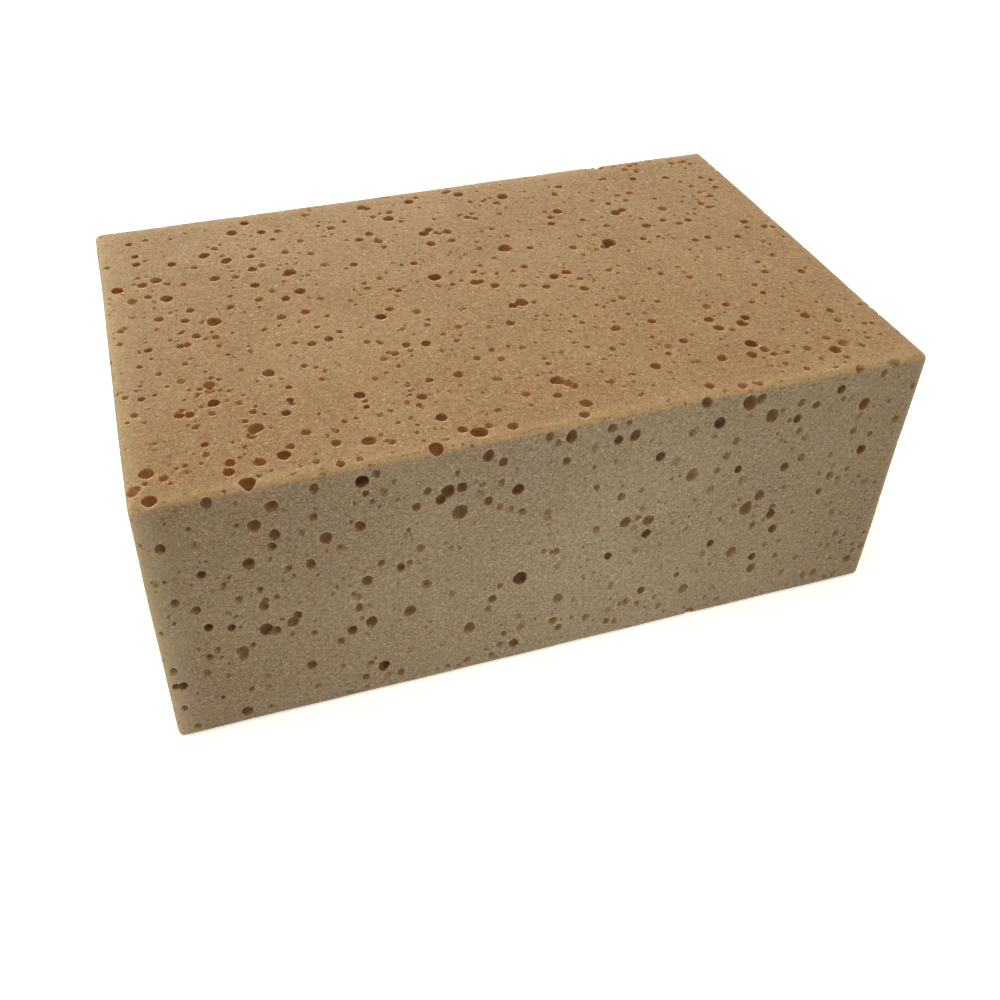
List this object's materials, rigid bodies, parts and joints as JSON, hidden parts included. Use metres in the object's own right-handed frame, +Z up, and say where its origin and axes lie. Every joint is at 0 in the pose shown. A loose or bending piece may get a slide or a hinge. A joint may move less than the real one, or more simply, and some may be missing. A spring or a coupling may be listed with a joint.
{
  "type": "grout sponge",
  "caption": "Rectangular block of open-cell foam with softly rounded edges and round pores in every face, for wiping grout and washing tiles.",
  "frame": {"origin": "middle of the underside, on the surface that the sponge lies on", "axes": "+X along the length, +Y away from the long side face that the picture shows, +Z up through the thickness"},
  "size_m": [0.175, 0.11, 0.07],
  "materials": {
    "foam": "matt open-cell polyurethane foam, tan, darker and browner inside the pores"
  },
  "bodies": {
    "root": {"sponge": "foam"}
  },
  "joints": []
}
